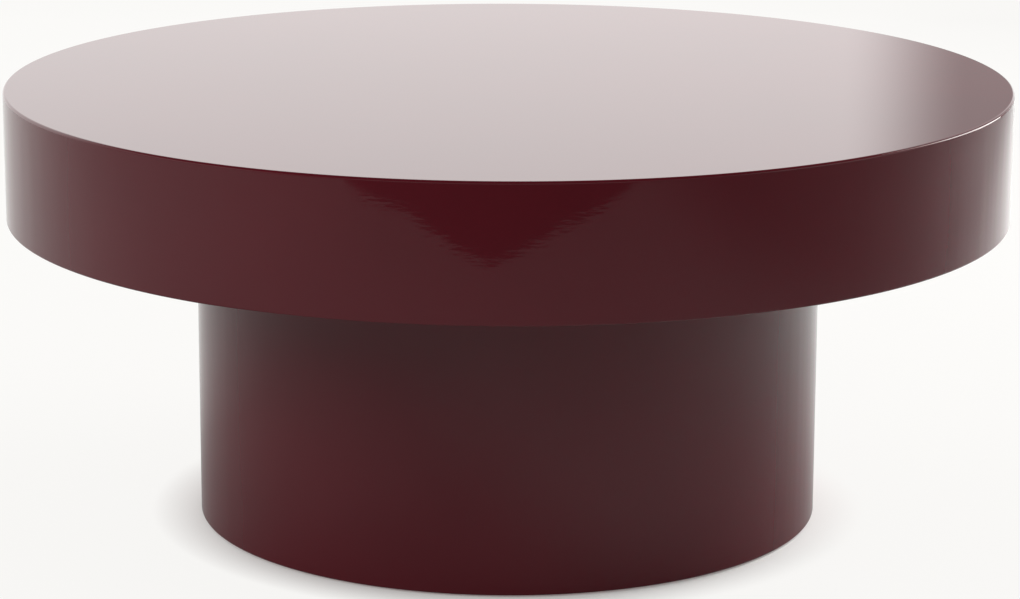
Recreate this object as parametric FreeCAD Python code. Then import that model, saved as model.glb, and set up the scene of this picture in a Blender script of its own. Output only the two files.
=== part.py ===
# Round cocktail table: a lacquered drum top carried on a lacquered drum base.
# The top is a hollow box: a panel, a bent band in two halves, a half-lapped rib core and an
# underside panel. The base is a bent shell round a plate, a ring and four uprights. Four bolts
# clamp the two together from inside the base, and the table stands on four screw levellers.
# Millimetres, +Z up, origin on the floor under the middle of the table.
import FreeCAD
import Part
import math
import os

Vector = FreeCAD.Vector
UP = Vector(0, 0, 1)
ORIGIN = Vector(0, 0, 0)

# Overall sizes
table_height = 350.0
top_diameter = 800.0
drum_height = 103.0
base_diameter = 500.0

# Joinery fits
glue_line = 0.2
lap_clearance = 0.1
cut_overrun = 2.0
same_place = 0.001

# Top panel
top_panel_thickness = 18.0
top_rebate_depth = 6.0
top_edge_radius = 2.0

# Apron band and the blocks behind its two seams
band_thickness = 15.0
band_edge_radius = 1.5
splice_width = 70.0
splice_thickness = 15.0

# Rib core
rib_thickness = 15.0
rib_offset = 125.0

# Underside panel
underside_thickness = 12.0
underside_recess = 4.0

# Bolt blocks in the corners of the middle cell
block_width = 60.0

# Base shell, plate, ring and uprights
shell_thickness = 15.0
shell_edge_radius = 1.5
floor_gap = 1.0
plate_thickness = 18.0
ring_thickness = 18.0
ring_width = 85.0
upright_thickness = 18.0
upright_width = 70.0
upright_count = 4
shell_seam_angle = 90

# M8 bolts, washers and insert nuts
bolt_diameter = 8.0
bolt_length = 45.0
bolt_head_across = 13.0
bolt_head_height = 5.3
bolt_chamfer = 1.0
bolt_hole_clearance = 0.5
thread_clearance = 0.1
washer_diameter = 24.0
washer_thickness = 2.0
insert_wall = 1.9
insert_length = 20.0
insert_flange_overhang = 2.0
insert_flange_thickness = 1.5
press_clearance = 0.05

# Countersunk wood screws
screw_diameter = 4.0
screw_head_diameter = 8.0
screw_length = 40.0
screw_tip_length = 5.0
screw_flat_tip_diameter = 0.6
inner_screw_share = 0.5
outer_screw_share = 0.55
upright_screw_shares = (0.25, 0.75)

# Levellers, one between each two uprights: a tee nut in the ring, a slotted M8 stem and a pad
leveller_travel = 10.0
stem_diameter = 8.0
stem_spare = 2.0
stem_chamfer = 0.8
slot_width = 1.2
slot_depth = 1.5
foot_overhang = 2.5
foot_thickness = 2.4
pad_diameter = 28.0
pad_height = 8.0
pad_floor = 2.5
pad_chamfer = 1.2
pad_wall_gap = 6.0
swivel_clearance = 0.3
stop_gap = 0.3
tee_wall = 0.9
tee_barrel_length = 11.0
tee_flange_overhang = 5.0
tee_flange_thickness = 1.5

# Radii and levels that follow from those sizes
top_radius = top_diameter / 2
band_inner = top_radius - band_thickness
core_radius = band_inner - glue_line
base_radius = base_diameter / 2
shell_inner = base_radius - shell_thickness
former_radius = shell_inner - glue_line
drum_floor_z = table_height - drum_height
underside_z = drum_floor_z + underside_recess
core_low_z = underside_z + underside_thickness
core_high_z = table_height - top_panel_thickness
core_middle_z = (core_low_z + core_high_z) / 2
band_top_z = core_high_z + top_rebate_depth
plate_z = underside_z - plate_thickness
ring_z = pad_height + stop_gap + tee_flange_thickness
ring_top_z = ring_z + ring_thickness

# Places that follow from those sizes
rib_half_length = math.sqrt(core_radius ** 2 - (rib_offset + rib_thickness / 2) ** 2)
block_centre = rib_offset - rib_thickness / 2 - block_width / 2
bolt_places = [(sx * block_centre, sy * block_centre) for sx in (-1, 1) for sy in (-1, 1)]
bolt_seat_z = plate_z - washer_thickness
bolt_tip_z = bolt_seat_z + bolt_length
insert_bore = bolt_diameter / 2 + thread_clearance
insert_radius = insert_bore + insert_wall
insert_flange_radius = insert_radius + insert_flange_overhang
upright_outer = math.sqrt(former_radius ** 2 - (upright_thickness / 2) ** 2)
upright_inner = upright_outer - upright_width
upright_angles = [shell_seam_angle + i * 360 / upright_count for i in range(upright_count)]
leveller_radius = shell_inner - pad_wall_gap - pad_diameter / 2
leveller_angles = [angle + 180 / upright_count for angle in upright_angles]
stem_top_z = ring_z + tee_barrel_length + leveller_travel + stem_spare
foot_radius = stem_diameter / 2 + foot_overhang
tee_bore = stem_diameter / 2 + thread_clearance
tee_radius = tee_bore + tee_wall


def at_angle(radius, degrees):
    """The x and y of a place on a circle about the table's axis."""
    return radius * math.cos(math.radians(degrees)), radius * math.sin(math.radians(degrees))


def rounded_wire(corners):
    """A closed wire in the XZ plane through corners (r, z, rounding radius)."""
    points = [Vector(r, 0, z) for r, z, _ in corners]
    starts, ends, middles = [], [], []
    for i, (_, _, rounding) in enumerate(corners):
        corner = points[i]
        back = (points[i - 1] - corner).normalize()
        on = (points[(i + 1) % len(points)] - corner).normalize()
        half = back.getAngle(on) / 2
        reach = rounding / math.tan(half)
        towards = (back + on).normalize()
        starts.append(corner + back * reach)
        ends.append(corner + on * reach)
        middles.append(corner + towards * (rounding / math.sin(half) - rounding))
    edges = []
    for i, (_, _, rounding) in enumerate(corners):
        if rounding > 0:
            edges.append(Part.Arc(starts[i], middles[i], ends[i]).toShape())
        following = starts[(i + 1) % len(corners)]
        if (following - ends[i]).Length > same_place:
            edges.append(Part.LineSegment(ends[i], following).toShape())
    return Part.Wire(edges)


def turned(corners, start=0, sweep=360):
    """A solid turned about the Z axis from its half section, over part of a turn if asked."""
    solid = Part.Face(rounded_wire(corners)).revolve(ORIGIN, UP, sweep)
    solid.rotate(ORIGIN, UP, start)
    return solid


def disc(radius, low_z, high_z):
    return Part.makeCylinder(radius, high_z - low_z, Vector(0, 0, low_z))


def hole(x, y, radius, low_z, high_z):
    """A cutter for a plain round hole."""
    return Part.makeCylinder(radius, high_z - low_z, Vector(x, y, low_z))


def board(x_low, x_high, y_low, y_high, z_low, z_high):
    return Part.makeBox(x_high - x_low, y_high - y_low, z_high - z_low, Vector(x_low, y_low, z_low))


def placed(solid, x, y, z, upside_down=False):
    """A copy of a solid made at the origin, turned over if asked, then carried to its place."""
    moved = solid.copy()
    if upside_down:
        moved.rotate(ORIGIN, Vector(1, 0, 0), 180)
    moved.translate(Vector(x, y, z))
    return moved


def countersunk(extra, overrun):
    """A countersunk screw's form, pointing up from its head at z = 0, grown by extra."""
    shank = screw_diameter / 2 + extra
    head = screw_head_diameter / 2 + extra
    head_height = (screw_head_diameter - screw_diameter) / 2
    form = turned([
        (0, 0, 0),
        (head, 0, 0),
        (shank, head_height, 0),
        (shank, screw_length - screw_tip_length, 0),
        (screw_flat_tip_diameter / 2 + extra, screw_length + extra, 0),
        (0, screw_length + extra, 0),
    ])
    if overrun > 0:
        form = form.fuse(disc(head, -overrun, 0))
    return form


wood_screw = countersunk(0, 0)
screw_cutter = countersunk(press_clearance, cut_overrun)


def screw_set(places, face_z, upside_down, pattern):
    """One screw, or one cutter, at each place, with its head flush in the face at face_z."""
    return [placed(pattern, x, y, face_z, upside_down) for x, y in places]


def rib_screw_places():
    """Two screws inside and two outside the crossings of each rib, as x and y."""
    inner = rib_offset * inner_screw_share
    outer = rib_offset + (rib_half_length - rib_offset) * outer_screw_share
    along = (-outer, -inner, inner, outer)
    on_x_ribs = [(s, side * rib_offset) for side in (-1, 1) for s in along]
    on_y_ribs = [(side * rib_offset, s) for side in (-1, 1) for s in along]
    return on_x_ribs + on_y_ribs


def upright_screw_places():
    reaches = [upright_inner + upright_width * share for share in upright_screw_shares]
    return [at_angle(reach, angle) for angle in upright_angles for reach in reaches]


def leveller_places():
    return [at_angle(leveller_radius, angle) for angle in leveller_angles]


def top_panel():
    """A full disc with an eased upper arris and a rebate below that the band is glued into."""
    return turned([
        (0, core_high_z, 0),
        (core_radius, core_high_z, 0),
        (core_radius, band_top_z, 0),
        (top_radius, band_top_z, 0),
        (top_radius, table_height, top_edge_radius),
        (0, table_height, 0),
    ])


def apron_band(start):
    """Half of the bent band, a glue line short of a half circle."""
    seam = math.degrees(glue_line / top_radius)
    section = [
        (band_inner, drum_floor_z, 0),
        (top_radius, drum_floor_z, band_edge_radius),
        (top_radius, band_top_z, 0),
        (band_inner, band_top_z, 0),
    ]
    return turned(section, start + seam / 2, 180 - seam)


def apron_splice(side):
    """A curved block glued behind a seam of the band, at the left or right."""
    curved = disc(core_radius, core_low_z, core_high_z)
    curved = curved.cut(disc(core_radius - splice_thickness, core_low_z, core_high_z))
    x_low, x_high = sorted((0, side * top_radius))
    return curved.common(board(x_low, x_high, -splice_width / 2, splice_width / 2, core_low_z, core_high_z))


def rib(side, along_x):
    """A core rib with its half laps: the X ribs are notched above, the Y ribs below."""
    low, high = (core_middle_z, core_high_z) if along_x else (core_low_z, core_middle_z)
    middle = side * rib_offset
    edges = (middle - rib_thickness / 2, middle + rib_thickness / 2)
    notch_half = rib_thickness / 2 + lap_clearance
    plank = board(-rib_half_length, rib_half_length, *edges, core_low_z, core_high_z)
    for crossing in (-rib_offset, rib_offset):
        plank = plank.cut(board(crossing - notch_half, crossing + notch_half, *edges, low, high))
    if not along_x:
        plank.rotate(ORIGIN, UP, 90)
    for cutter in screw_set(rib_screw_places(), underside_z, False, screw_cutter):
        if cutter.BoundBox.intersect(plank.BoundBox):
            plank = plank.cut(cutter)
    return plank


def underside_panel():
    """The panel that closes the core, set up inside the band, with its bolt and screw holes."""
    panel = disc(core_radius, underside_z, core_low_z)
    for x, y in bolt_places:
        panel = panel.cut(hole(x, y, bolt_diameter / 2 + bolt_hole_clearance, underside_z, core_low_z))
    for cutter in screw_set(rib_screw_places(), underside_z, False, screw_cutter):
        panel = panel.cut(cutter)
    return panel


def bolt_block(x, y):
    """A hardwood block glued into a corner of the middle cell, bored for its insert nut."""
    half = block_width / 2
    block = board(x - half, x + half, y - half, y + half, core_low_z, core_high_z)
    flange = hole(x, y, insert_flange_radius + press_clearance,
                  core_low_z, core_low_z + insert_flange_thickness)
    barrel = hole(x, y, insert_radius + press_clearance, core_low_z, core_low_z + insert_length)
    beyond = max(bolt_tip_z, core_low_z + insert_length) + cut_overrun
    shank = hole(x, y, bolt_diameter / 2 + bolt_hole_clearance, core_low_z, beyond)
    return block.cut(flange).cut(barrel).cut(shank)


def insert_nut():
    """A flanged insert nut, pointing up from z = 0. Its thread is left plain."""
    return turned([
        (insert_bore, 0, 0),
        (insert_flange_radius, 0, 0),
        (insert_flange_radius, insert_flange_thickness, 0),
        (insert_radius, insert_flange_thickness, 0),
        (insert_radius, insert_length, 0),
        (insert_bore, insert_length, 0),
    ])


def table_bolt():
    """A hex bolt pointing up, with the underside of its head at z = 0."""
    shank_radius = bolt_diameter / 2
    shank = turned([
        (0, 0, 0),
        (shank_radius, 0, 0),
        (shank_radius, bolt_length - bolt_chamfer, 0),
        (shank_radius - bolt_chamfer, bolt_length, 0),
        (0, bolt_length, 0),
    ])
    corner = bolt_head_across / math.sqrt(3)
    corners = [Vector(*at_angle(corner, i * 60), -bolt_head_height) for i in range(6)]
    hexagon = Part.Face(Part.makePolygon(corners + corners[:1]))
    head = hexagon.extrude(UP * bolt_head_height)
    crown = turned([
        (0, -bolt_head_height, 0),
        (bolt_head_across / 2, -bolt_head_height, 0),
        (bolt_head_across / 2 + bolt_head_height, 0, 0),
        (0, 0, 0),
    ])
    return head.common(crown).fuse(shank).removeSplitter()


def bolt_washer():
    bore = bolt_diameter / 2 + bolt_hole_clearance
    return disc(washer_diameter / 2, 0, washer_thickness).cut(disc(bore, 0, washer_thickness))


def base_shell():
    """The bent shell of the base. Its closing seam is at the rear, backed by an upright."""
    seam = math.degrees(glue_line / base_radius)
    section = [
        (shell_inner, floor_gap, 0),
        (base_radius, floor_gap, shell_edge_radius),
        (base_radius, underside_z, 0),
        (shell_inner, underside_z, 0),
    ]
    return turned(section, shell_seam_angle + seam / 2, 360 - seam)


def base_top_plate():
    """The plate inside the top of the shell that the bolts pull on."""
    plate = disc(former_radius, plate_z, underside_z)
    for x, y in bolt_places:
        plate = plate.cut(hole(x, y, bolt_diameter / 2 + bolt_hole_clearance, plate_z, underside_z))
    for cutter in screw_set(upright_screw_places(), underside_z, True, screw_cutter):
        plate = plate.cut(cutter)
    return plate


def base_bottom_ring():
    """The ring inside the foot of the shell. A hand reaches the bolts through its middle."""
    ring = disc(former_radius, ring_z, ring_top_z)
    ring = ring.cut(disc(former_radius - ring_width, ring_z, ring_top_z))
    for x, y in leveller_places():
        ring = ring.cut(hole(x, y, tee_radius + press_clearance, ring_z, ring_top_z))
    for cutter in screw_set(upright_screw_places(), ring_z, False, screw_cutter):
        ring = ring.cut(cutter)
    return ring


def base_upright(angle):
    """A board on edge between ring and plate, pointing at the table's axis."""
    half = upright_thickness / 2
    upright = board(upright_inner, upright_outer, -half, half, ring_top_z, plate_z)
    upright.rotate(ORIGIN, UP, angle)
    cutters = screw_set(upright_screw_places(), underside_z, True, screw_cutter)
    cutters += screw_set(upright_screw_places(), ring_z, False, screw_cutter)
    for cutter in cutters:
        if cutter.BoundBox.intersect(upright.BoundBox):
            upright = upright.cut(cutter)
    return upright


def tee_nut():
    """A tee nut pointing up, with its flange just below z = 0. Its thread is left plain."""
    flange_radius = tee_radius + tee_flange_overhang
    return turned([
        (tee_bore, -tee_flange_thickness, 0),
        (flange_radius, -tee_flange_thickness, 0),
        (flange_radius, 0, 0),
        (tee_radius, 0, 0),
        (tee_radius, tee_barrel_length, 0),
        (tee_bore, tee_barrel_length, 0),
    ])


def leveller_pad():
    """A moulded pad on the floor, hollowed for the foot of its stem, which it holds captive."""
    pad_radius = pad_diameter / 2
    hollow_radius = foot_radius + swivel_clearance
    mouth_radius = stem_diameter / 2 + swivel_clearance
    hollow_top = pad_floor + foot_thickness + 2 * swivel_clearance
    return turned([
        (0, 0, 0),
        (pad_radius - pad_chamfer, 0, 0),
        (pad_radius, pad_chamfer, 0),
        (pad_radius, pad_height - pad_chamfer, 0),
        (pad_radius - pad_chamfer, pad_height, 0),
        (mouth_radius, pad_height, 0),
        (mouth_radius, hollow_top, 0),
        (hollow_radius, hollow_top, 0),
        (hollow_radius, pad_floor, 0),
        (0, pad_floor, 0),
    ])


def leveller_stem():
    """The stem: a flat foot inside the pad, a shank through the tee nut and a slotted end."""
    foot_z = pad_floor + swivel_clearance
    shank_radius = stem_diameter / 2
    stem = turned([
        (0, foot_z, 0),
        (foot_radius, foot_z, 0),
        (foot_radius, foot_z + foot_thickness, 0),
        (shank_radius, foot_z + foot_thickness, 0),
        (shank_radius, stem_top_z - stem_chamfer, 0),
        (shank_radius - stem_chamfer, stem_top_z, 0),
        (0, stem_top_z, 0),
    ])
    slot = board(-stem_diameter, stem_diameter, -slot_width / 2, slot_width / 2,
                 stem_top_z - slot_depth, stem_top_z + cut_overrun)
    return stem.cut(slot)


def nodes():
    """Every sub-part by its node name, as a list of its solids."""
    made = {
        "top_panel": [top_panel()],
        "apron_band_front": [apron_band(180)],
        "apron_band_rear": [apron_band(0)],
        "apron_splice_left": [apron_splice(-1)],
        "apron_splice_right": [apron_splice(1)],
        "core_rib_front": [rib(-1, True)],
        "core_rib_rear": [rib(1, True)],
        "core_rib_left": [rib(1, False)],
        "core_rib_right": [rib(-1, False)],
        "underside_panel": [underside_panel()],
        "underside_screws": screw_set(rib_screw_places(), underside_z, False, wood_screw),
        "insert_nuts": [placed(insert_nut(), x, y, core_low_z) for x, y in bolt_places],
        "table_bolts": [placed(table_bolt(), x, y, bolt_seat_z) for x, y in bolt_places],
        "bolt_washers": [placed(bolt_washer(), x, y, bolt_seat_z) for x, y in bolt_places],
        "base_shell": [base_shell()],
        "base_top_plate": [base_top_plate()],
        "base_bottom_ring": [base_bottom_ring()],
        "plate_screws": screw_set(upright_screw_places(), underside_z, True, wood_screw),
        "ring_screws": screw_set(upright_screw_places(), ring_z, False, wood_screw),
        "tee_nuts": [placed(tee_nut(), x, y, ring_z) for x, y in leveller_places()],
    }
    for number, (x, y) in enumerate(bolt_places, start=1):
        made[f"bolt_block_{number}"] = [bolt_block(x, y)]
    for number, angle in enumerate(upright_angles, start=1):
        made[f"base_upright_{number}"] = [base_upright(angle)]
    for number, (x, y) in enumerate(leveller_places(), start=1):
        made[f"leveller_pad_{number}"] = [placed(leveller_pad(), x, y, 0)]
        made[f"leveller_stem_{number}"] = [placed(leveller_stem(), x, y, 0)]
    return made


def main():
    os.makedirs("parts", exist_ok=True)
    for name, solids in nodes().items():
        shape = solids[0] if len(solids) == 1 else Part.makeCompound(solids)
        shape.exportStep(os.path.join("parts", name + ".step"))
        print(name, len(shape.Solids), "valid" if shape.isValid() else "INVALID", round(shape.Volume))


main()
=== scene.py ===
"""Looks of a round cocktail table in high gloss oxblood lacquer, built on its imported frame."""

import math

import bmesh
import bpy
from mathutils import Matrix, Vector


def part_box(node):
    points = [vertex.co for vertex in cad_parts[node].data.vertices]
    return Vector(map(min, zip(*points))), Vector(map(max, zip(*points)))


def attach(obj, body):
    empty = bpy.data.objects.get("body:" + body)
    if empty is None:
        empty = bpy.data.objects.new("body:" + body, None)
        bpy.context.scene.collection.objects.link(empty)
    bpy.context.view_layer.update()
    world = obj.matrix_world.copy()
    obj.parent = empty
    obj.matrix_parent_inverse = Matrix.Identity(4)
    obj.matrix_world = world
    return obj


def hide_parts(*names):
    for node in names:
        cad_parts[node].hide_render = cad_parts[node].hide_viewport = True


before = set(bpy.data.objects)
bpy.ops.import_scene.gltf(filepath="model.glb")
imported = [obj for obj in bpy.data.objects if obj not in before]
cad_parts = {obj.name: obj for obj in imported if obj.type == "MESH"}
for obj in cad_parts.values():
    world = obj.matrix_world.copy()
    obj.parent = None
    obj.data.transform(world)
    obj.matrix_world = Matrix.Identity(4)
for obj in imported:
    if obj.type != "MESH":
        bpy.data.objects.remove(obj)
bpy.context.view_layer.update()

# the drum and the base, in metres, from the frame
top_low, top_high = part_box("top_panel")
band_low, band_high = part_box("apron_band_front")
core_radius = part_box("underside_panel")[1].x
shell_low, shell_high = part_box("base_shell")
former_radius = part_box("base_top_plate")[1].x
top_radius, table_height = top_high.x, top_high.z
base_radius = shell_high.x
arris_radius = 0.002
lower_arris_radius = 0.0015
glue_line = 0.0002
arris_steps = 8
support_gap = 0.0003

# the fasteners, in metres
underside_z, core_z = (corner.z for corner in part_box("underside_panel"))
ring_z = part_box("base_bottom_ring")[0].z
washer_z, washer_top_z = (corner.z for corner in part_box("bolt_washers"))
rib_offset, rib_thickness, block_width = 0.125, 0.015, 0.060
bolt_offset = rib_offset - rib_thickness / 2 - block_width / 2
bolt_places = [(sx * bolt_offset, sy * bolt_offset) for sx in (-1, 1) for sy in (-1, 1)]
bolt_radius, bolt_length, bolt_tip = 0.004, 0.045, 0.001
bolt_head_across, bolt_head_height = 0.013, 0.0053
washer_bore, washer_radius = 0.0045, 0.012
nut_bore = 0.0041
insert_radius, insert_flange_radius, insert_flange, insert_length = 0.006, 0.008, 0.0015, 0.020
insert_pitch = 0.0025
tee_radius, tee_flange_radius, tee_flange, tee_length = 0.005, 0.010, 0.0015, 0.011
thread_pitch, thread_share = 0.00125, 0.14
thread_start = 0.0006
rows_per_thread = 6
screw_radius, screw_head_radius, screw_length = 0.002, 0.004, 0.040
screw_tip_radius, screw_tip_length, screw_plain = 0.0003, 0.005, 0.008
screw_pitch, screw_thread_share = 0.0022, 0.28
recess_width, recess_length, recess_depth = 0.0011, 0.0046, 0.0014
inner_screw = 0.5 * rib_offset
rib_half_length = math.sqrt(core_radius ** 2 - (rib_offset + rib_thickness / 2) ** 2)
outer_screw = rib_offset + 0.55 * (rib_half_length - rib_offset)
upright_width, upright_screw_shares = 0.070, (0.25, 0.75)
upright_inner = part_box("base_upright_4")[1].x - upright_width
stem_radius, stem_foot_radius, stem_foot, stem_chamfer = 0.004, 0.0065, 0.0024, 0.0008
stem_slot_width, stem_slot_depth = 0.0012, 0.0015
pad_chamfer, pad_mouth, pad_lip = 0.0012, 0.0043, 0.0025
pad_pocket_radius, pad_floor = 0.0068, 0.0025
pad_grips, pad_grip_across = 24, 0.02785
edge_ease = 0.0003

# lacquer colours and the other finishes, as sRGB
oxblood_deep, oxblood_light = (82, 13, 25), (92, 17, 29)
satin_deep, satin_light = (70, 15, 23), (82, 21, 30)
floor_colour = (249, 248, 246)

# the studio, in metres
floor_glow = 0.95
backdrop_height, wing_end = 3.1, 0.2
# a lamp that only the gloss shows: direction from straight behind, lower and upper edge, in degrees
gloss_lamp_distance, gloss_lamp_glow = 2.6, 6.5
gloss_lamp_edges = [(74, 8, 40), (60, -4, 27), (46, -4, 1)]
# painted light: the room's walls glow, dim towards the ceiling and dimmer at the front
room_size, room_glow, room_top_glow, front_wall_painted_shade = 6.0, 0.85, 0.06, 0.5
# the paper's outline, and its painted shade: its tone in front of the table and behind it, and its fall to
# the right
paper_edge = [
    (-2.6, -1.0), (-1.7, -2.2), (-1.3, -2.2), (-1.1, -1.75), (-0.6, -1.8), (-0.1, -1.65),
    (0.3, -1.8), (1.0, -1.9), (1.2, -2.2), (1.7, -2.2), (2.6, -1.0), (2.6, 2.5), (-2.6, 2.5),
]
# painted shade: the paper is darker in front of the table and to the right, lighter behind it
paper_front_y, paper_rear_y = -1.6, 1.2
paper_front_painted_shade, paper_rear_painted_light = 0.42, 0.60
paper_right_painted_shade, right_painted_shade_start, right_painted_shade_end = 0.45, 0.8, 1.5
# the backdrop: its glow, painted light for a lit backdrop, and the dim strip in it, from left to right
backdrop_glow, backdrop_tone, strip_tone = 2.1, 0.70, 0.24
strip_left, strip_right, strip_softness = 0.70, 0.90, 0.20
# where the backdrop's painted light runs into the room's tone, which also glows: depth of the wing, right
# end, height, and that tone
wing_depth, right_fade, right_end, top_fade = 1.3, 1.0, 1.95, 1.9
room_fade_z, room_low_tone, room_high_tone = 0.5, (0.38, 0.38, 0.375, 1), (0.06, 0.06, 0.06, 1)


class Field:
    """A value in a node tree. Sums on it add Math nodes."""

    def __init__(self, graph, socket):
        self.graph, self.socket = graph, socket

    def out(self, name):
        """Another output of the same node."""
        return Field(self.graph, self.socket.node.outputs[name])

    def __add__(self, other):
        return self.graph.maths("ADD", self, other)

    def __sub__(self, other):
        return self.graph.maths("SUBTRACT", self, other)

    def __rsub__(self, other):
        return self.graph.maths("SUBTRACT", other, self)

    def __mul__(self, other):
        return self.graph.maths("MULTIPLY", self, other)

    def __truediv__(self, other):
        return self.graph.maths("DIVIDE", self, other)

    def __rtruediv__(self, other):
        return self.graph.maths("DIVIDE", other, self)

    def __mod__(self, other):
        return self.graph.maths("FLOORED_MODULO", self, other)

    def __gt__(self, other):
        return self.graph.maths("GREATER_THAN", self, other)

    def __lt__(self, other):
        return self.graph.maths("LESS_THAN", self, other)

    def __abs__(self):
        return self.graph.maths("ABSOLUTE", self)

    __radd__, __rmul__ = __add__, __mul__


class Graph:
    """A node tree, shader or geometry, that is written as calls."""

    def __init__(self, tree):
        self.tree = tree

    def node(self, kind, sockets=None, out=0, stops=None, **settings):
        """Adds a node: its settings first, then the values or links of its sockets."""
        made = self.tree.nodes.new(kind)
        for name, value in settings.items():
            setattr(made, name, value)
        if stops:
            points = made.color_ramp.elements
            while len(points) < len(stops):
                points.new(1)
            for point, (position, colour) in zip(points, stops):
                point.position, point.color = position, colour
        for key, value in (sockets or {}).items():
            for one in value if isinstance(value, list) else [value]:
                if isinstance(one, Field):
                    self.tree.links.new(one.socket, made.inputs[key])
                else:
                    made.inputs[key].default_value = one
        return Field(self, made.outputs[out]) if made.outputs else None

    def maths(self, operation, *values):
        return self.node("ShaderNodeMath", dict(enumerate(values)), operation=operation)

    def scaled(self, vector, scale):
        return self.node("ShaderNodeVectorMath", {0: vector, 1: scale}, operation="MULTIPLY")

    def parts(self, vector):
        """The x, y and z of a vector."""
        x = self.node("ShaderNodeSeparateXYZ", {0: vector})
        return x, x.out("Y"), x.out("Z")

    def mix(self, share, first, second):
        """A colour between two colours."""
        return self.node("ShaderNodeMix", {0: share, 6: first, 7: second}, out=2, data_type="RGBA")

    def noise(self, place, scale, detail=2.0, roughness=0.5):
        values = {"Vector": place, "Scale": scale, "Detail": detail, "Roughness": roughness}
        return self.node("ShaderNodeTexNoise", values)

    def bump(self, height, distance, under=None):
        values = {"Height": height, "Distance": distance, "Strength": 1.0}
        if under:
            values["Normal"] = under
        return self.node("ShaderNodeBump", values)

    def spread(self, value, low, high):
        """A value between 0 and 1 brought to a range."""
        return value * (high - low) + low


def linear(colour):
    """An sRGB colour, 0 to 255, as the linear values that a socket takes."""
    return (*((c / 255 / 12.92) if c / 255 <= 0.04045 else ((c / 255 + 0.055) / 1.055) ** 2.4
              for c in colour), 1.0)


def rounded(corners):
    """A half section through corners (radius, height, rounding), with arcs and support points."""
    points = []
    count = len(corners)
    for i, (r, z, rounding) in enumerate(corners):
        corner = Vector((r, z))
        if not rounding:
            points.append(corner)
            continue
        back = (Vector(corners[i - 1][:2]) - corner).normalized()
        on = (Vector(corners[(i + 1) % count][:2]) - corner).normalized()
        half = back.angle(on) / 2
        reach = rounding / math.tan(half)
        centre = corner + (back + on).normalized() * (rounding / math.sin(half))
        first = corner + back * reach - centre
        last = corner + on * reach - centre
        points.append(centre + first + back * support_gap)
        turn = first.angle(last)
        for step in range(arris_steps + 1):
            share = step / arris_steps
            spoke = first * math.sin((1 - share) * turn) + last * math.sin(share * turn)
            points.append(centre + spoke / math.sin(turn))
        points.append(centre + last + on * support_gap)
    return [tuple(p) for p in points]


def closed(points):
    return points + points[:1]


def rows(first, last, pitch):
    """Points from one (radius, height) to another, close enough together to carry a thread."""
    count = max(2, round(abs(last[1] - first[1]) / pitch * rows_per_thread))
    shares = [i / count for i in range(count + 1)]
    return [tuple(a + (b - a) * share for a, b in zip(first, last)) for share in shares]


turning_inputs = {
    "Segments": ("NodeSocketInt", 64),
    "Start": ("NodeSocketFloat", 0.0),
    "Sweep": ("NodeSocketFloat", 2 * math.pi),
    "Pitch": ("NodeSocketFloat", 1.0),
    "Thread Share": ("NodeSocketFloat", 0.0),
    "Thread Low": ("NodeSocketFloat", -10.0),
    "Thread High": ("NodeSocketFloat", 10.0),
    "Thread Radius": ("NodeSocketFloat", 0.0),
    "Sides": ("NodeSocketInt", 6),
    "Across": ("NodeSocketFloat", 100.0),
    "Slot Width": ("NodeSocketFloat", 0.0),
    "Slot Length": ("NodeSocketFloat", 0.0),
    "Slot Depth": ("NodeSocketFloat", 0.0),
    "Slot Level": ("NodeSocketFloat", 0.0),
    "Cross": ("NodeSocketBool", False),
    "Places": ("NodeSocketObject", None),
    "Material": ("NodeSocketMaterial", None),
}


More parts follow.
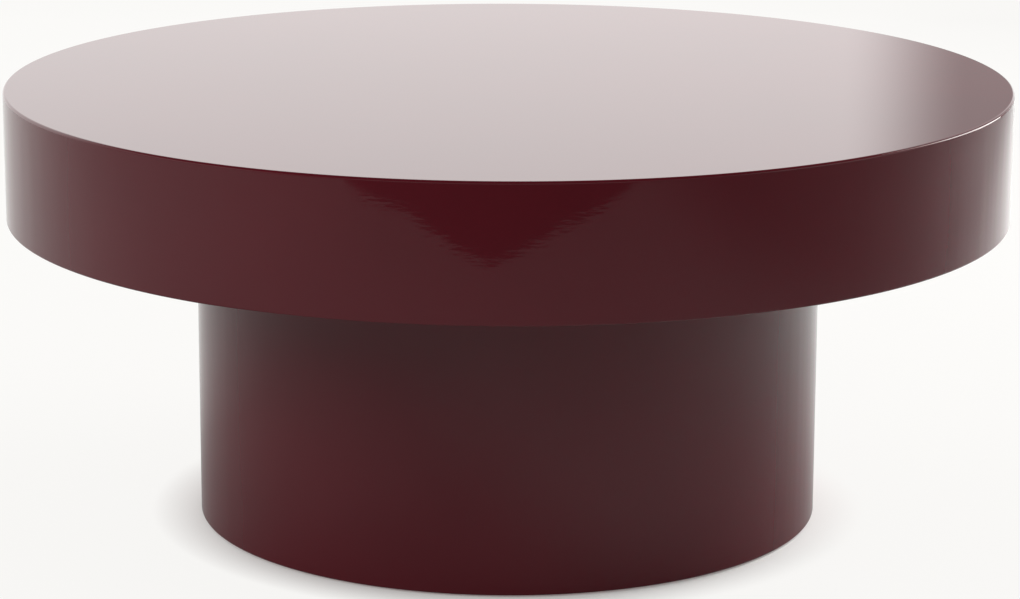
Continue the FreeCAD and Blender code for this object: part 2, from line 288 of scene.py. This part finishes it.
def turning_tree():
    """The lathe: turns the half section given as a line of points, cuts a thread, flats and slots
    where their inputs ask for them, and sets the result at each place."""
    tree = bpy.data.node_groups.new("turning", "GeometryNodeTree")
    tree.interface.new_socket("Section", in_out="INPUT", socket_type="NodeSocketGeometry")
    tree.interface.new_socket("Turned", in_out="OUTPUT", socket_type="NodeSocketGeometry")
    for name, (kind, value) in turning_inputs.items():
        socket = tree.interface.new_socket(name, in_out="INPUT", socket_type=kind)
        if value is not None:
            socket.default_value = value
    g = Graph(tree)
    section = g.node("NodeGroupInput")
    ask = section.out
    columns = ask("Segments") + 1
    count = g.node("GeometryNodeAttributeDomainSize", {0: section}, out="Point Count")
    grid = g.node("GeometryNodeMeshGrid", {"Vertices X": count, "Vertices Y": columns})
    index = g.node("GeometryNodeInputIndex")
    column = index % columns
    row = (index - column) / columns
    place = g.node("GeometryNodeInputPosition")
    sampled = g.node("GeometryNodeSampleIndex", {0: section, 1: place, "Index": row},
                     data_type="FLOAT_VECTOR")
    radius, _, height = g.parts(sampled)
    angle = ask("Start") + ask("Sweep") * column / ask("Segments")

    turns = (height / ask("Pitch") - angle / (2 * math.pi)) % 1.0
    groove = 1 - abs(turns * 2 - 1)
    cut_here = (height > ask("Thread Low")) * (height < ask("Thread High"))
    cut_here = cut_here * (radius > ask("Thread Radius"))
    radius = radius * (1 - groove * cut_here * ask("Thread Share"))

    side = 2 * math.pi / ask("Sides")
    flat = ask("Across") / 2 / g.maths("COSINE", angle % side - side / 2)
    radius = g.maths("MINIMUM", radius, flat)

    x, y = radius * g.maths("COSINE", angle), radius * g.maths("SINE", angle)
    spot = g.node("ShaderNodeCombineXYZ", {0: x, 1: y, 2: height})
    solid = g.node("GeometryNodeSetPosition", {"Geometry": grid, "Position": spot})
    solid = g.node("GeometryNodeMergeByDistance", {"Geometry": solid, "Distance": 1e-6})

    size = g.node("ShaderNodeCombineXYZ", {
        0: ask("Slot Length"), 1: ask("Slot Width"), 2: ask("Slot Depth") * 2})
    level = g.node("ShaderNodeCombineXYZ", {2: ask("Slot Level")})
    slot = g.node("GeometryNodeMeshCube", {"Size": size})
    slot = g.node("GeometryNodeTransform", {"Geometry": slot, "Translation": level})
    across = g.node("GeometryNodeTransform", {"Geometry": slot, "Rotation": (0, 0, math.pi / 2)})
    across = g.node("GeometryNodeSwitch", {"Switch": ask("Cross"), "True": across}, input_type="GEOMETRY")
    slotted = g.node("GeometryNodeMeshBoolean", {"Mesh 1": solid, "Mesh 2": [slot, across]},
                     operation="DIFFERENCE", solver="EXACT")
    choice = {"Switch": ask("Slot Depth") > 0.0, "False": solid, "True": slotted}
    solid = g.node("GeometryNodeSwitch", choice, input_type="GEOMETRY")

    spots = g.node("GeometryNodeObjectInfo", {"Object": ask("Places")}, out="Geometry")
    copies = g.node("GeometryNodeInstanceOnPoints", {"Points": spots, "Instance": solid})
    joined = g.node("GeometryNodeRealizeInstances", {"Geometry": copies})
    painted = g.node("GeometryNodeSetMaterial", {"Geometry": joined, "Material": ask("Material")})
    g.node("NodeGroupOutput", {0: painted})
    return tree


turning = turning_tree()


def points_object(name, points, edges=()):
    mesh = bpy.data.meshes.new(name)
    mesh.from_pydata(points, edges, [])
    made = bpy.data.objects.new(name, mesh)
    bpy.context.scene.collection.objects.link(made)
    return made


def turned_piece(name, section, material, places=((0.0, 0.0),), **sizes):
    """A piece turned from its half section by the turning tree, as a plain mesh."""
    points = [(r, 0, z) for r, z in section]
    line = points_object(name + "_section", points, [(i, i + 1) for i in range(len(points) - 1)])
    spots = points_object(name + "_places", [(x, y, 0) for x, y in places])
    modifier = line.modifiers.new("turning", "NODES")
    modifier.node_group = turning
    wanted = {key.replace("_", " ").title(): value for key, value in sizes.items()}
    wanted.update(Places=spots, Material=material)
    for item in turning.interface.items_tree:
        if item.in_out == "INPUT" and item.name in wanted:
            modifier[item.identifier] = wanted[item.name]
    evaluated = line.evaluated_get(bpy.context.evaluated_depsgraph_get())
    mesh = bpy.data.meshes.new_from_object(evaluated)
    line.modifiers.remove(modifier)
    for helper in (line, spots):
        data = helper.data
        bpy.data.objects.remove(helper)
        bpy.data.meshes.remove(data)
    mesh.name = name
    if mesh.materials[0] is None:
        mesh.materials.pop(index=0)
    close_and_smooth(mesh)
    piece = bpy.data.objects.new(name, mesh)
    bpy.context.scene.collection.objects.link(piece)
    return piece


def close_and_smooth(mesh):
    """Caps the ends of a part turn, turns the faces outwards and keeps only real corners sharp."""
    shape = bmesh.new()
    shape.from_mesh(mesh)
    bmesh.ops.holes_fill(shape, edges=[e for e in shape.edges if e.is_boundary])
    bmesh.ops.recalc_face_normals(shape, faces=shape.faces)
    shape.to_mesh(mesh)
    shape.free()
    mesh.shade_smooth()
    mesh.set_sharp_from_angle(angle=math.radians(32))


def stands_for(piece, node, body):
    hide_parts(node)
    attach(piece, body)


def new_material(name):
    material = bpy.data.materials.new(name)
    material.use_nodes = True
    material.node_tree.nodes.clear()
    return material, Graph(material.node_tree)


def shaded(g, sockets):
    """The material's one shader."""
    shader = g.node("ShaderNodeBsdfPrincipled", sockets)
    g.node("ShaderNodeOutputMaterial", {"Surface": shader})


def object_place(g):
    return g.node("ShaderNodeTexCoord", out="Object")


def gloss_lacquer(name, wave_depth):
    """Sprayed and polished lacquer. Over bent plywood, upright waves of the veneer show through."""
    material, g = new_material(name)
    place = object_place(g)
    depth = g.noise(place, 7.0, 3.0)
    colour = g.mix(depth, linear(oxblood_deep), linear(oxblood_light))
    polish = g.noise(place, 26.0, 4.0, 0.6)
    waves = g.noise(g.scaled(place, (1, 1, 0.04)), 55.0, 1.0)
    ripple = g.noise(g.scaled(place, (0.28, 0.28, 1)), 380.0, 1.0)
    peel = g.noise(place, 210.0, 1.0)
    normal = g.bump(waves, wave_depth)
    normal = g.bump(ripple, wave_depth * 0.1, normal)
    normal = g.bump(peel, 0.000004, normal)
    shaded(g, {
        "Base Color": colour,
        "Roughness": g.spread(polish, 0.028, 0.05),
        "IOR": 1.5,
        "Normal": normal,
    })
    return material


def satin_lacquer():
    """The unpolished coat on the underside: duller, with a faint sprayed texture."""
    material, g = new_material("satin_lacquer")
    place = object_place(g)
    cloud = g.noise(place, 11.0, 4.0)
    mist = g.noise(place, 420.0, 2.0)
    shaded(g, {
        "Base Color": g.mix(cloud, linear(satin_deep), linear(satin_light)),
        "Roughness": g.spread(cloud, 0.36, 0.52),
        "Specular IOR Level": 0.3,
        "Normal": g.bump(mist, 0.00003),
    })
    return material


def birch_grain(g, place, along):
    """The colour and the fine fibres of birch veneer, drawn out by the three scales in along."""
    grain = g.noise(g.scaled(place, tuple(along)), 14.0, 5.0, 0.6)
    fibre = g.noise(g.scaled(place, tuple(3 * a for a in along)), 40.0, 3.0)
    streak = g.node("ShaderNodeValToRGB", {0: grain}, stops=[
        (0.3, linear((186, 148, 104))), (0.52, linear((212, 179, 134))), (0.7, linear((222, 192, 150)))])
    return streak, fibre


def bare_veneer():
    """The bare inner face of the bent plywood, with upright grain."""
    material, g = new_material("bare_birch_veneer")
    streak, fibre = birch_grain(g, object_place(g), (9.0, 9.0, 0.5))
    shaded(g, {
        "Base Color": streak,
        "Roughness": g.spread(fibre, 0.5, 0.72),
        "Normal": g.bump(fibre, 0.00012),
    })
    return material


def plywood(axis, grain_axis):
    """Birch plywood whose thickness runs along axis: long grain on its faces, plies on its edges."""
    material, g = new_material("plywood_" + "xyz"[axis] + "xyz"[grain_axis])
    place = object_place(g)
    facing = abs(g.parts(g.node("ShaderNodeNewGeometry", out="Normal"))[axis])
    face = facing > 0.6
    along = [9.0, 9.0, 9.0]
    along[grain_axis] = 0.5
    along[axis] = 2.0
    streak, fibre = birch_grain(g, place, along)
    ply = g.parts(place)[axis] / 0.0015 + g.noise(place, 60.0) * 0.25
    dark_ply = ply % 2.0 > 1.0
    edge = g.mix(dark_ply, linear((205, 170, 124)), linear((146, 106, 68)))
    edge = g.mix(g.noise(place, 700.0) * 0.5, edge, linear((116, 82, 52)))
    shaded(g, {
        "Base Color": g.mix(face, edge, streak),
        "Roughness": g.spread(fibre, 0.5, 0.72),
        "Normal": g.bump(fibre, 0.00012),
    })
    return material


def fibreboard():
    """Bare medium density fibreboard: fine felted fibres."""
    material, g = new_material("fibreboard")
    place = object_place(g)
    felt = g.noise(place, 480.0, 4.0, 0.7)
    cloud = g.noise(place, 30.0, 3.0)
    base = g.mix(cloud, linear((150, 116, 82)), linear((168, 132, 95)))
    shaded(g, {
        "Base Color": g.mix(g.node("ShaderNodeValToRGB", {0: felt}, stops=[
            (0.42, (0, 0, 0, 1)), (0.62, (1, 1, 1, 1))]), base, linear((120, 88, 60))),
        "Roughness": g.spread(felt, 0.68, 0.88),
        "Normal": g.bump(felt, 0.00008),
    })
    return material


def beech():
    """Planed beech: even pinkish grain with short dark flecks."""
    material, g = new_material("beech")
    place = object_place(g)
    grain = g.noise(g.scaled(place, (1, 1, 0.08)), 60.0, 4.0)
    flecks = g.noise(g.scaled(place, (1, 1, 0.12)), 420.0, 2.0)
    fleck = g.node("ShaderNodeValToRGB", {0: flecks}, stops=[(0.6, (0, 0, 0, 1)), (0.72, (1, 1, 1, 1))])
    wood = g.mix(grain, linear((190, 140, 98)), linear((214, 168, 124)))
    shaded(g, {
        "Base Color": g.mix(fleck, wood, linear((138, 92, 60))),
        "Roughness": g.spread(grain, 0.45, 0.62),
        "Normal": g.bump(flecks, 0.00006),
    })
    return material


def zinc_steel():
    """Bright zinc plating: pale, slightly blue, with a faint cloudy crystal."""
    material, g = new_material("zinc_steel")
    place = object_place(g)
    crystal = g.node("ShaderNodeTexVoronoi", {"Vector": place, "Scale": 700.0}, out="Color")
    shade = g.parts(crystal)[0]
    haze = g.noise(place, 160.0, 3.0)
    shaded(g, {
        "Base Color": g.mix(shade, linear((196, 200, 206)), linear((222, 224, 224))),
        "Metallic": 1.0,
        "Roughness": g.spread(haze, 0.24, 0.42),
        "Normal": g.bump(haze, 0.00001),
    })
    return material


def nylon():
    """Moulded black nylon with a matt, finely spark eroded skin."""
    material, g = new_material("nylon")
    place = object_place(g)
    skin = g.noise(place, 1500.0, 2.0)
    cloud = g.noise(place, 90.0, 2.0)
    shaded(g, {
        "Base Color": g.mix(cloud, linear((24, 24, 25)), linear((34, 34, 36))),
        "Roughness": g.spread(skin, 0.42, 0.6),
        "Normal": g.bump(skin, 0.00003),
    })
    return material


def leave_inside_bare(piece, veneer):
    """Takes the lacquer off the faces of a turned wall that look at its axis."""
    mesh = piece.data
    mesh.materials.append(veneer)
    for face in mesh.polygons:
        x, y, _ = face.center
        if face.normal.x * x + face.normal.y * y < -0.5 * math.hypot(x, y):
            face.material_index = len(mesh.materials) - 1


def lacquered_pieces():
    """The drum and the base, turned with many sides, so that one coat runs over every joint."""
    on_panel = gloss_lacquer("gloss_lacquer_on_panel", 0.0)
    on_band = gloss_lacquer("gloss_lacquer_on_bent_ply", 0.00012)
    veneer = bare_veneer()
    rebate_z = band_high.z
    band_inner = core_radius + glue_line
    top = turned_piece("lacquered_top", rounded([
        (0, top_low.z, 0), (core_radius, top_low.z, 0), (core_radius, rebate_z, 0),
        (top_radius, rebate_z, 0), (top_radius, table_height, arris_radius), (0, table_height, 0),
    ]), on_panel, segments=384)
    stands_for(top, "top_panel", "table")
    band = closed(rounded([
        (band_inner, band_low.z, 0), (top_radius, band_low.z, lower_arris_radius),
        (top_radius, rebate_z, 0), (band_inner, rebate_z, 0),
    ]))
    for side, start in (("front", math.pi), ("rear", 0.0)):
        half = turned_piece("lacquered_apron_" + side, band, on_band,
                            segments=192, start=start, sweep=math.pi)
        leave_inside_bare(half, veneer)
        stands_for(half, "apron_band_" + side, "table")
    shell_inner = former_radius + glue_line
    shell = turned_piece("lacquered_base", closed(rounded([
        (shell_inner, shell_low.z, 0), (base_radius, shell_low.z, lower_arris_radius),
        (base_radius, shell_high.z, 0), (shell_inner, shell_high.z, 0),
    ])), on_band, segments=320)
    leave_inside_bare(shell, veneer)
    stands_for(shell, "base_shell", "table")


def wood_screw(head_z, way):
    """The half section of a countersunk screw with its head at a height, pointing up (1) or down (-1)."""
    neck_z = head_z + way * (screw_head_radius - screw_radius)
    thread_z = neck_z + way * screw_plain
    shoulder_z = head_z + way * (screw_length - screw_tip_length)
    tip_z = head_z + way * screw_length
    return [
        (0, head_z), (screw_head_radius, head_z), (screw_radius, neck_z),
        *rows((screw_radius, thread_z), (screw_radius, shoulder_z), screw_pitch),
        *rows((screw_radius, shoulder_z), (screw_tip_radius, tip_z), screw_pitch), (0, tip_z),
    ]


def screws(node, places, head_z, way, material):
    """Countersunk screws with a cross recess and a coarse thread."""
    ends = sorted((head_z + way * screw_plain, head_z + way * (screw_length - edge_ease)))
    piece = turned_piece("turned_" + node, wood_screw(head_z, way), material, places, segments=20,
                         pitch=screw_pitch, thread_share=screw_thread_share,
                         thread_low=ends[0], thread_high=ends[1], slot_width=recess_width,
                         slot_length=recess_length, slot_depth=recess_depth, slot_level=head_z, cross=True)
    stands_for(piece, node, "table")


def rib_screw_places():
    reaches = [sign * reach for reach in (inner_screw, outer_screw) for sign in (-1, 1)]
    sides = (-rib_offset, rib_offset)
    return [(r, s) for r in reaches for s in sides] + [(s, r) for r in reaches for s in sides]


def upright_screw_places():
    reaches = [upright_inner + upright_width * share for share in upright_screw_shares]
    ways = ((0, 1), (-1, 0), (0, -1), (1, 0))
    return [(x * reach, y * reach) for x, y in ways for reach in reaches]


def table_bolts(material):
    """Hexagon bolts, threaded all the way, with a chamfered head."""
    low_z, tip_z = washer_z - bolt_head_height, washer_z + bolt_length
    flat, corner = bolt_head_across / 2, bolt_head_across / math.sqrt(3)
    section = [
        (0, low_z), *rows((flat, low_z), (corner, low_z + corner - flat), corner - flat),
        (corner, washer_z), (bolt_radius, washer_z),
        *rows((bolt_radius, washer_z + thread_start), (bolt_radius, tip_z - bolt_tip), thread_pitch),
        (bolt_radius - bolt_tip, tip_z), (0, tip_z),
    ]
    piece = turned_piece("hexagon_table_bolts", section, material, bolt_places, segments=36,
                         sides=6, across=bolt_head_across, pitch=thread_pitch, thread_share=thread_share,
                         thread_low=washer_z, thread_high=tip_z - bolt_tip)
    stands_for(piece, "table_bolts", "table")


def washers(material):
    section = closed(rounded([
        (washer_bore, washer_z, 0), (washer_radius, washer_z, edge_ease),
        (washer_radius, washer_top_z, edge_ease), (washer_bore, washer_top_z, 0),
    ]))
    piece = turned_piece("stamped_bolt_washers", section, material, bolt_places, segments=48)
    stands_for(piece, "bolt_washers", "table")


def insert_nuts(material):
    """Flanged insert nuts with a coarse wood thread outside."""
    flange_z, top_z = core_z + insert_flange, core_z + insert_length
    lead_z = top_z - insert_pitch / 2
    section = closed([
        (nut_bore, core_z), (insert_flange_radius, core_z), (insert_flange_radius, flange_z),
        (insert_radius, flange_z),
        *rows((insert_radius, flange_z + thread_start), (insert_radius, lead_z), insert_pitch),
        (insert_radius - insert_flange / 2, top_z), (nut_bore, top_z),
    ])
    piece = turned_piece("threaded_insert_nuts", section, material, bolt_places, segments=40,
                         pitch=insert_pitch, thread_share=thread_share, thread_low=flange_z,
                         thread_high=lead_z, thread_radius=nut_bore + edge_ease)
    stands_for(piece, "insert_nuts", "table")


def tee_nuts(places, material):
    low_z, top_z = ring_z - tee_flange, ring_z + tee_length
    section = closed(rounded([
        (nut_bore, low_z, 0), (tee_flange_radius, low_z, edge_ease), (tee_flange_radius, ring_z, edge_ease),
        (tee_radius, ring_z, 0), (tee_radius, top_z, 0), (nut_bore, top_z, 0),
    ]))
    piece = turned_piece("pressed_tee_nuts", section, material, places, segments=48)
    stands_for(piece, "tee_nuts", "table")


def leveller_stem(number, place, material):
    """A threaded stem with a round foot, and a slot in its top for a screwdriver from inside the base."""
    low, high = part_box(f"leveller_stem_{number}")
    foot_z, neck_z = low.z + stem_foot, high.z - stem_chamfer
    section = [
        *rounded([(0, low.z, 0), (stem_foot_radius, low.z, edge_ease), (stem_foot_radius, foot_z, edge_ease),
                  (stem_radius, foot_z, 0)]),
        *rows((stem_radius, foot_z + thread_start), (stem_radius, neck_z), thread_pitch),
        (stem_radius - stem_chamfer, high.z), (0, high.z),
    ]
    piece = turned_piece(f"slotted_leveller_stem_{number}", section, material, [place], segments=36,
                         pitch=thread_pitch, thread_share=thread_share, thread_low=foot_z, thread_high=neck_z,
                         slot_width=stem_slot_width, slot_length=4 * stem_radius,
                         slot_depth=stem_slot_depth, slot_level=high.z)
    stands_for(piece, f"leveller_stem_{number}", f"stem_{number}")


def leveller_pad(number, place, material):
    """A moulded pad with a grip of many flats, hollow for the foot of the stem that turns in it."""
    low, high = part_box(f"leveller_pad_{number}")
    radius = (high.x - low.x) / 2
    section = rounded([
        (0, low.z, 0), (radius - pad_chamfer, low.z, edge_ease), (radius, low.z + pad_chamfer, edge_ease),
        (radius, high.z - pad_chamfer, edge_ease), (radius - pad_chamfer, high.z, edge_ease),
        (pad_mouth, high.z, 0), (pad_mouth, high.z - pad_lip, 0), (pad_pocket_radius, high.z - pad_lip, 0),
        (pad_pocket_radius, low.z + pad_floor, 0), (0, low.z + pad_floor, 0),
    ])
    piece = turned_piece(f"moulded_leveller_pad_{number}", section, material, [place],
                         segments=3 * pad_grips, sides=pad_grips, across=pad_grip_across)
    stands_for(piece, f"leveller_pad_{number}", f"pad_{number}")


def fasteners():
    steel, pad_nylon = zinc_steel(), nylon()
    screws("underside_screws", rib_screw_places(), underside_z, 1, steel)
    screws("plate_screws", upright_screw_places(), underside_z, -1, steel)
    screws("ring_screws", upright_screw_places(), ring_z, 1, steel)
    table_bolts(steel)
    washers(steel)
    insert_nuts(steel)
    pads = [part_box(f"leveller_pad_{number}") for number in range(1, 5)]
    places = [((low.x + high.x) / 2, (low.y + high.y) / 2) for low, high in pads]
    tee_nuts(places, steel)
    for number, place in enumerate(places, start=1):
        leveller_stem(number, place, steel)
        leveller_pad(number, place, pad_nylon)


def bare_boards():
    """Finishes of the boards inside, which keep their CAD shapes."""
    x, y, z = range(3)
    sideways, lengthways = plywood(y, x), plywood(x, y)
    across_upright, along_upright = plywood(x, z), plywood(y, z)
    hardwood = beech()
    finishes = {
        "underside_panel": satin_lacquer(), "base_top_plate": plywood(z, x), "base_bottom_ring": fibreboard(),
        "core_rib_front": sideways, "core_rib_rear": sideways, "core_rib_left": lengthways,
        "core_rib_right": lengthways, "apron_splice_left": lengthways, "apron_splice_right": lengthways,
        "base_upright_1": across_upright, "base_upright_3": across_upright,
        "base_upright_2": along_upright, "base_upright_4": along_upright,
        **{f"bolt_block_{number}": hardwood for number in range(1, 5)},
    }
    for node, finish in finishes.items():
        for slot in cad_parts[node].material_slots:
            slot.material = finish


def room_floor_material():
    """The dark floor of the room beyond the paper, which only the gloss meets: painted shade for an unlit
    floor there.
    """
    material, g = new_material("room_floor")
    g.node("ShaderNodeOutputMaterial", {
        # painted shade: a dark floor that only the gloss meets
        "Surface": g.node("ShaderNodeBsdfDiffuse", {"Color": (0.12, 0.115, 0.11, 1)})})
    return material


def room_wall_material():
    """The glowing walls that the gloss shows from other sides: painted light, bright below, dim towards the
    ceiling and dimmer at the front.
    """
    material, g = new_material("room_walls")
    _, y, z = g.parts(object_place(g))
    low, high = ((share, share, share * 0.98, 1) for share in (room_glow, room_top_glow))
    colour = g.mix(ramp(g, z, 1.0, 0.9 * room_size), low, high)
    # painted shade: the front wall glows less
    colour = g.mix(ramp(g, y, -room_size / 2, -room_size) * front_wall_painted_shade, colour, (0, 0, 0, 1))
    glow = g.node("ShaderNodeEmission", {"Color": colour, "Strength": 1.0})
    g.node("ShaderNodeOutputMaterial", {"Surface": glow})
    return material


def sheet(name, points, faces, material, camera=False, glossy=True, diffuse=False, shadow=False):
    """A studio sheet that only the named kinds of ray meet."""
    mesh = bpy.data.meshes.new(name)
    mesh.from_pydata(points, [], faces)
    mesh.materials.append(material)
    made = bpy.data.objects.new(name, mesh)
    bpy.context.scene.collection.objects.link(made)
    made.visible_camera = made.visible_transmission = camera
    made.visible_glossy, made.visible_diffuse, made.visible_shadow = glossy, diffuse, shadow
    return made


def ramp(g, value, low, high):
    """A value brought to 0 below low and 1 above high, with soft ends."""
    values = {"Value": value, "From Min": low, "From Max": high}
    return g.node("ShaderNodeMapRange", values, interpolation_type="SMOOTHSTEP")


def paper_material():
    """Plain paper with painted shade, darker to the front and right, open under the base to let light inside.
    """
    material, g = new_material("paper")
    x, y, _ = g.parts(object_place(g))
    # painted shade: the paper darkens towards the front and towards the right
    tone = g.spread(ramp(g, y, paper_front_y, paper_rear_y), paper_front_painted_shade, paper_rear_painted_light)
    tone = tone * (1 - ramp(g, x, right_painted_shade_start, right_painted_shade_end) * paper_right_painted_shade)
    colour = g.node("ShaderNodeCombineXYZ", {0: tone, 1: tone, 2: tone * 0.985})
    paint = g.node("ShaderNodeBsdfDiffuse", {"Color": colour})
    inside = g.maths("SQRT", x * x + y * y) < base_radius - lower_arris_radius
    paint = g.node("ShaderNodeMixShader", {0: inside, 1: paint, 2: g.node("ShaderNodeBsdfTransparent")})
    g.node("ShaderNodeOutputMaterial", {"Surface": paint})
    return material


def floor_material():
    """The pale floor. It keeps a soft shadow, which is full only under the base."""
    material, g = new_material("floor")
    x, y, _ = g.parts(object_place(g))
    reach = g.maths("SQRT", x * x + y * y)
    outside = g.node("ShaderNodeMapRange", {
        "Value": reach, "From Min": base_radius - 0.01, "From Max": base_radius + 0.04})
    pale = linear(floor_colour)
    paint = g.node("ShaderNodeBsdfDiffuse", {"Color": pale})
    glow = g.node("ShaderNodeEmission", {"Color": pale, "Strength": 1.0})
    paint = g.node("ShaderNodeMixShader", {0: outside * floor_glow, 1: paint, 2: glow})
    below = g.node("ShaderNodeNewGeometry", out="Backfacing")
    paint = g.node("ShaderNodeMixShader", {0: below, 1: paint, 2: g.node("ShaderNodeBsdfTransparent")})
    g.node("ShaderNodeOutputMaterial", {"Surface": paint})
    return material


def backdrop_material():
    """The glowing backdrop behind the table, painted light for a lit one, with a dim strip at the right and a
    soft upper edge.
    """
    material, g = new_material("backdrop")
    x, y, z = g.parts(object_place(g))
    strip = ramp(g, x, strip_left - strip_softness, strip_left)
    strip = strip * ramp(g, x, strip_right + strip_softness, strip_right)
    light, dim = ((share, share, share * 0.99, 1) for share in (backdrop_tone, strip_tone))
    tone = g.mix(strip, light, dim)
    ends = ramp(g, y, wing_end, wing_end + wing_depth) * ramp(g, x, right_end, right_fade)
    room = g.mix(ramp(g, z, room_fade_z, backdrop_height), room_low_tone, room_high_tone)
    colour = g.mix(ramp(g, z, backdrop_height, top_fade) * ends, room, tone)
    # painted light: the backdrop glows instead of being lit
    glow = g.node("ShaderNodeEmission", {"Color": colour, "Strength": backdrop_glow})
    g.node("ShaderNodeOutputMaterial", {"Surface": glow})
    return material


def glowing(name, strength):
    material, g = new_material(name)
    glow = g.node("ShaderNodeEmission", {"Color": (1, 0.98, 0.96, 1), "Strength": strength})
    g.node("ShaderNodeOutputMaterial", {"Surface": glow})
    return material


def studio():
    """Pale floor, and the paper, backdrop, room and lamp that only the gloss and the light meet. The paper
    and the room's floor carry painted shade, the backdrop and the room's walls glow as painted light.
    """
    far = 40.0
    floor = [(-far, -far, 0), (far, -far, 0), (far, far, 0), (-far, far, 0)]
    sheet("floor", floor, [(0, 1, 2, 3)], floor_material(), camera=True, glossy=False)
    sheet("paper", [(x, y, -0.0002) for x, y in paper_edge], [tuple(range(len(paper_edge)))],
          paper_material(), diffuse=True)
    room = [(-1, -1), (1, -1), (1, 1), (-1, 1)]
    outer = [(x * room_size, y * room_size) for x, y in room]
    hole = [(x * base_radius, y * base_radius) for x, y in room]
    around = [(0, 1, 5, 4), (1, 2, 6, 5), (2, 3, 7, 6), (3, 0, 4, 7)]
    sheet("room_floor", [(x, y, -0.001) for x, y in outer + hole], around, room_floor_material())
    points = [(x, y, z) for z in (-0.001, room_size) for x, y in outer]
    sheet("room_walls", points, [(4, 5, 6, 7), *around], room_wall_material())
    backdrop = [(-3.0, wing_end), (-2.6, 2.5), (2.0, 2.5)]
    points = [(x, y, z) for z in (0.0, backdrop_height) for x, y in backdrop]
    sheet("backdrop", points, [(0, 1, 4, 3), (1, 2, 5, 4)], backdrop_material(), diffuse=True)
    gloss_lamp()


def gloss_lamp():
    """A bent panel at the right, between the directions of its lower and upper edge."""
    points = []
    for aside, low, high in gloss_lamp_edges:
        turn = math.radians(aside)
        x, y = gloss_lamp_distance * math.sin(turn), gloss_lamp_distance * math.cos(turn)
        for rise in (low, high):
            height = table_height + gloss_lamp_distance * math.tan(math.radians(rise))
            points.append((x, y, height))
    faces = [(i, i + 2, i + 3, i + 1) for i in range(0, len(points) - 2, 2)]
    sheet("gloss_lamp", points, faces, glowing("gloss_lamp", gloss_lamp_glow))


def lamp(name, place, aim, size, power):
    """A soft area lamp that the gloss doesn't show."""
    light = bpy.data.lights.new(name, "AREA")
    light.shape, light.size, light.size_y, light.energy = "RECTANGLE", *size, power
    made = bpy.data.objects.new(name, light)
    bpy.context.scene.collection.objects.link(made)
    way = Vector(aim) - Vector(place)
    made.matrix_world = Matrix.Translation(place) @ way.to_track_quat("-Z", "Y").to_matrix().to_4x4()
    made.visible_camera = made.visible_glossy = False


def lighting():
    lamp("right_softbox", (1.65, 1.1, 1.35), (0.3, 0.2, 0.1), (1.3, 1.0), 54.0)
    lamp("left_fill", (-2.2, -1.2, 1.6), (-0.2, 0.0, 0.3), (1.2, 1.2), 24.0)
    lamp("left_rear_fill", (-1.3, 1.6, 1.5), (-0.7, 0.6, 0.0), (0.9, 0.9), 13.0)
    world = bpy.data.worlds.new("world")
    bpy.context.scene.world = world
    world.use_nodes = True
    world.node_tree.nodes.clear()
    g = Graph(world.node_tree)
    path = g.node("ShaderNodeLightPath")
    seen = g.maths("MAXIMUM", path.out("Is Camera Ray"), path.out("Is Glossy Ray"))
    seen = g.maths("MAXIMUM", seen, path.out("Is Transmission Ray"))
    ambient = g.node("ShaderNodeBackground", {"Color": (1, 0.99, 0.98, 1), "Strength": 0.47})
    pale = g.node("ShaderNodeBackground", {"Color": linear(floor_colour), "Strength": 1.0})
    both = g.node("ShaderNodeMixShader", {0: seen, 1: ambient, 2: pale})
    g.node("ShaderNodeOutputWorld", {"Surface": both})


def camera():
    """The photograph's view."""
    pitch, yaw, roll = math.radians(13.627), math.radians(-0.031), math.radians(0.196)
    ahead = Vector((math.sin(yaw) * math.cos(pitch), math.cos(yaw) * math.cos(pitch), -math.sin(pitch)))
    level = Vector((math.cos(yaw), -math.sin(yaw), 0))
    upright = level.cross(ahead)
    right = math.cos(roll) * level + math.sin(roll) * upright
    up = math.cos(roll) * upright - math.sin(roll) * level
    data = bpy.data.cameras.new("camera")
    data.lens, data.sensor_width, data.sensor_fit = 123.19, 36.0, "HORIZONTAL"
    made = bpy.data.objects.new("camera", data)
    bpy.context.scene.collection.objects.link(made)
    turn = Matrix((right, up, -ahead)).transposed().to_4x4()
    made.matrix_world = Matrix.Translation((0.00317, -2.7477, 0.8360)) @ turn
    bpy.context.scene.camera = made


camera()
lacquered_pieces()
fasteners()
bare_boards()
studio()
lighting()
bpy.context.scene.view_settings.view_transform = "Standard"
